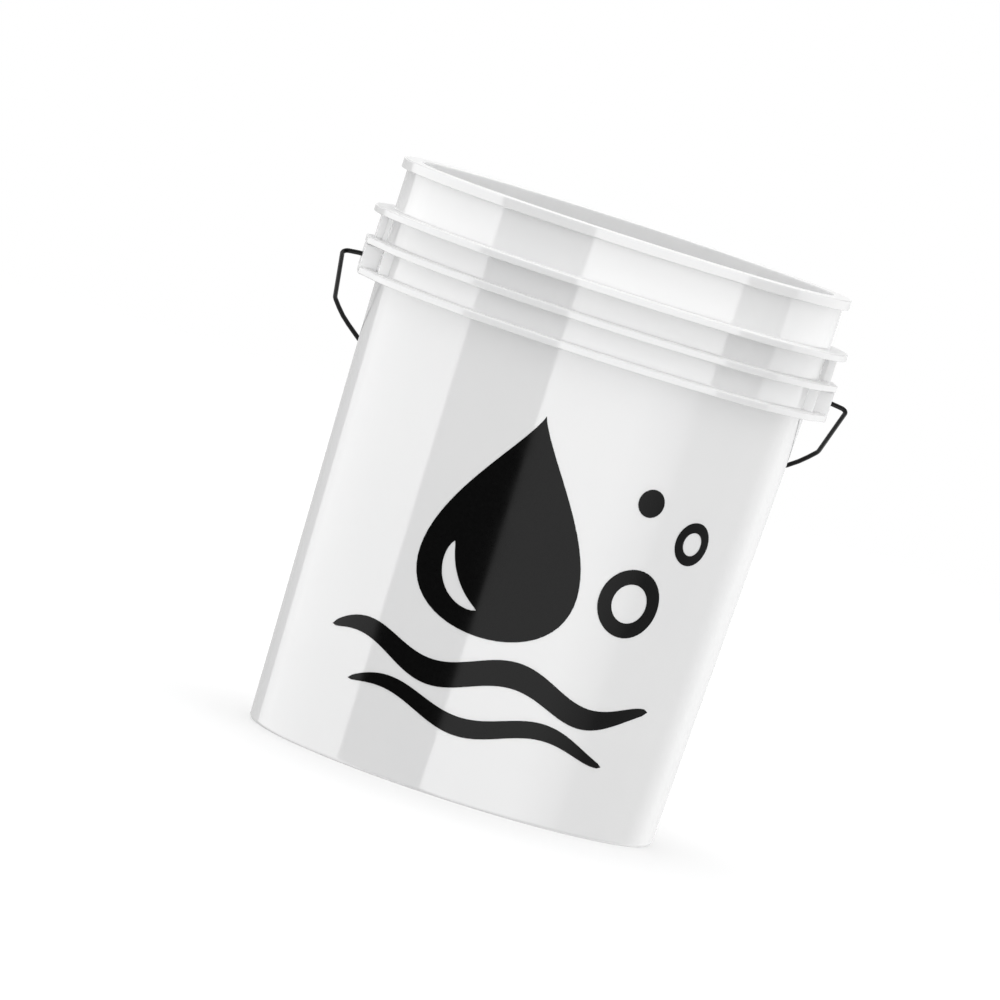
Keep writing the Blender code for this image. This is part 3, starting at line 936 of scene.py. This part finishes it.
HIGH_FROM, BACKDROP_FROM, DOME_FROM = (-3.9, -2.9), (-1.0, 0.0), (5.5, 7.0)  # elevations
# What lights every other surface, from straight below (0) to straight above (1).
EVEN_LIGHT = [(0.0, 1.06), (0.4, 1.03), (0.51, 0.9), (0.75, 1.02), (1.0, 1.7)]


def make_camera():
    """A long lens, a little above the rim, rolled so that the bucket leans to the right."""
    elevation, roll, yaw = radians(ELEVATION), radians(ROLL), radians(-YAW)
    ahead = Vector((sin(yaw) * cos(elevation), cos(yaw) * cos(elevation), -sin(elevation)))
    level = ahead.cross(Vector((0, 0, 1))).normalized()
    upright = level.cross(ahead)
    right = level * cos(roll) + upright * sin(roll)
    up = right.cross(ahead)
    data = bpy.data.cameras.new("camera")
    data.sensor_width = SENSOR
    data.lens = LENS
    data.clip_end = 100
    camera = bpy.data.objects.new("camera", data)
    aim = Vector((0, 0, HEIGHT / 2)) - right * AIM_LEFT + up * AIM_UP
    turn = Matrix((right, up, -ahead)).transposed().to_4x4()
    camera.matrix_world = Matrix.Translation(aim - ahead * DISTANCE) @ turn
    bpy.context.scene.collection.objects.link(camera)
    bpy.context.scene.camera = camera


def make_floor():
    """A round, pale floor that fades out into the white surroundings.

    It shows to the camera, with the bucket's shadow, but the bucket neither mirrors it nor
    takes light from it.
    """
    bm = bmesh.new()
    bmesh.ops.create_circle(bm, cap_ends=True, segments=96, radius=FLOOR_RADIUS)
    floor = add_mesh("studio_floor", bm)
    mat = bpy.data.materials.new("pale_floor")
    mat.use_nodes = True
    tree = mat.node_tree
    shader = tree.nodes["Principled BSDF"]
    shader.inputs["Base Color"].default_value = (FLOOR_WHITE, FLOOR_WHITE, FLOOR_WHITE, 1)
    shader.inputs["Roughness"].default_value = 0.9
    place = tree.nodes.new("ShaderNodeTexCoord")
    away = tree.nodes.new("ShaderNodeVectorMath")
    away.operation = "LENGTH"
    tree.links.new(place.outputs["Object"], away.inputs[0])
    fade = tree.nodes.new("ShaderNodeMapRange")
    fade.interpolation_type = "SMOOTHERSTEP"
    fade.inputs["From Min"].default_value = FLOOR_FADE[0]
    fade.inputs["From Max"].default_value = FLOOR_FADE[1]
    fade.inputs["To Min"].default_value = 1.0
    fade.inputs["To Max"].default_value = 0.0
    tree.links.new(away.outputs["Value"], fade.inputs["Value"])
    tree.links.new(fade.outputs["Result"], shader.inputs["Alpha"])
    floor.data.materials.append(mat)
    floor.visible_glossy = False
    floor.visible_diffuse = False


def make_surroundings():
    """A white studio: panels under a dome, which glossy surfaces mirror, and even light.

    The panels stand in three rings, one above the other. The low ring shows in the sloping
    wall, the high ring in the upright neck, and the backdrop in the tops of the ribs and
    the rim, which mirror what is behind the bucket. Everything that isn't a mirror image
    is lit by the even light, and the camera sees plain white.
    """
    world = bpy.data.worlds.new("studio")
    bpy.context.scene.world = world
    world.use_nodes = True
    coordinates = world.node_tree.nodes.new("ShaderNodeTexCoord")
    nodes = Tree(world.node_tree, coordinates.outputs["Generated"])
    split = world.node_tree.nodes.new("ShaderNodeSeparateXYZ")
    nodes.link(nodes.place, split.inputs["Vector"])
    x, y, z = split.outputs
    azimuth = nodes.math("ARCTAN2", x, nodes.math("MULTIPLY", y, -1.0))
    turn = nodes.remap(azimuth, radians(YAW - 180), radians(YAW + 180), 0.0, 1.0)
    low, high, backdrop = (
        nodes.ramp(turn, [(0.5 + angle / 360, level) for angle, level in stops], PANEL_SCALE)
        for stops in (LOW_RING, HIGH_RING, BACKDROP))
    dome = nodes.ramp(z, DOME, PANEL_SCALE)
    mirrored = low
    for layer, (start, end) in ((high, HIGH_FROM), (backdrop, BACKDROP_FROM), (dome, DOME_FROM)):
        share = nodes.remap(z, sin(radians(start)), sin(radians(end)), 0.0, 1.0)
        mirrored = nodes.mix(share, mirrored, layer)
    even = nodes.ramp(nodes.remap(z, -1.0, 1.0, 0.0, 1.0), EVEN_LIGHT, PANEL_SCALE)
    path = world.node_tree.nodes.new("ShaderNodeLightPath")
    light = nodes.mix(path.outputs["Is Glossy Ray"], even, mirrored)
    seen = nodes.mix(path.outputs["Is Camera Ray"], light, (1 / PANEL_SCALE,) * 3)
    background = world.node_tree.nodes["Background"]
    nodes.link(seen, background.inputs["Color"])
    background.inputs["Strength"].default_value = PANEL_SCALE


def main():
    white = white_polyethylene()
    guard_black = satin_black("guard_plastic", (0.018, 0.018, 0.019), (0.034, 0.034, 0.035),
                              700.0)
    grip_black = satin_black("grip_plastic", (0.014, 0.014, 0.015), (0.030, 0.030, 0.031),
                             500.0)
    make_shell(white)
    make_graphic(black_ink())
    make_wire(coated_wire())
    make_grip(grip_black)
    make_grille(guard_black)
    for number in range(4):
        make_vane(guard_black, number)
    make_hub(guard_black)
    make_camera()
    make_floor()
    make_surroundings()
    bpy.context.scene.view_settings.view_transform = "Standard"


main()
